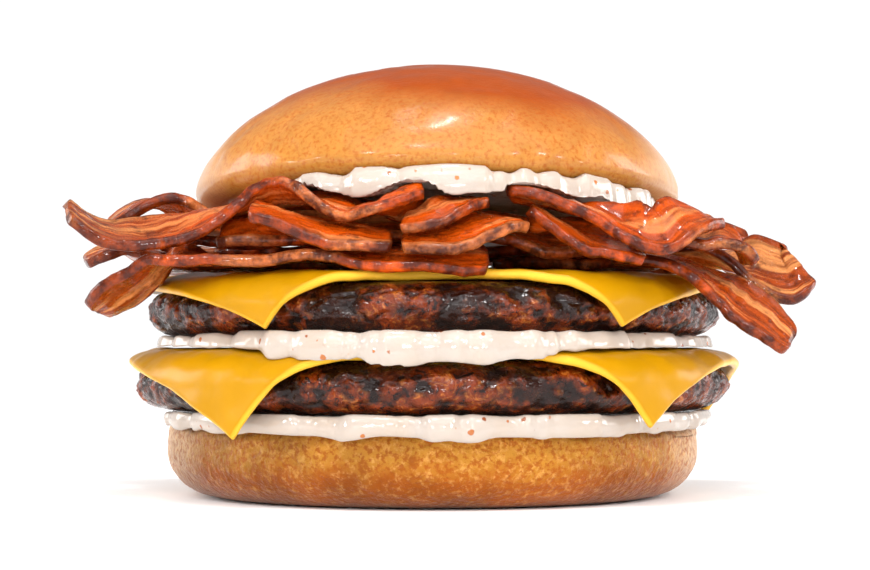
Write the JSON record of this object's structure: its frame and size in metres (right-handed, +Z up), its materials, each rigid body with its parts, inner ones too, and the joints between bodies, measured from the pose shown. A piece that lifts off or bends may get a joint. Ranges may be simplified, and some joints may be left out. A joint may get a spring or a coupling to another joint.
{
  "type": "double cheeseburger",
  "caption": "Double cheeseburger with a domed bun, draped cheese on each patty, white sauce and a heap of wavy bacon strips spilling out under the crown.",
  "frame": {"origin": "centre of the heel bun's flat underside", "axes": "+X to the burger's right as seen from its front, +Y to its back, +Z up"},
  "size_m": [0.1301, 0.1088, 0.0762],
  "materials": {
    "heel_crust": "matte",
    "crown_crust": "satin",
    "beef_lower": "satin",
    "beef_upper": "satin",
    "cheese_lower": "satin",
    "cheese_upper": "satin",
    "sauce_lower": "gloss",
    "sauce_middle": "gloss",
    "sauce_upper": "gloss",
    "bacon": "satin"
  },
  "bodies": {
    "root": {"bun_heel": "heel_crust", "bun_crown": "crown_crust", "patty_lower": "beef_lower", "patty_upper": "beef_upper", "cheese_lower": "cheese_lower", "cheese_upper": "cheese_upper", "sauce_lower": "sauce_lower", "sauce_middle": "sauce_middle", "sauce_upper": "sauce_upper", "bacon_left_low": "bacon", "bacon_front_low": "bacon", "bacon_right_hanging": "bacon", "bacon_right_pale": "bacon", "bacon_back_left": "bacon", "bacon_back_right": "bacon", "bacon_middle_left": "bacon", "bacon_middle_right": "bacon", "bacon_left_deep": "bacon", "bacon_right_deep": "bacon", "bacon_back_upper": "bacon", "bacon_middle_back": "bacon", "bacon_left_mid": "bacon", "bacon_right_low": "bacon", "bacon_right_curl": "bacon", "bacon_front_tip": "bacon", "bacon_front_diagonal": "bacon", "bacon_left_arch": "bacon", "bacon_right_top": "bacon", "bacon_left_top": "bacon"}
  },
  "joints": []
}
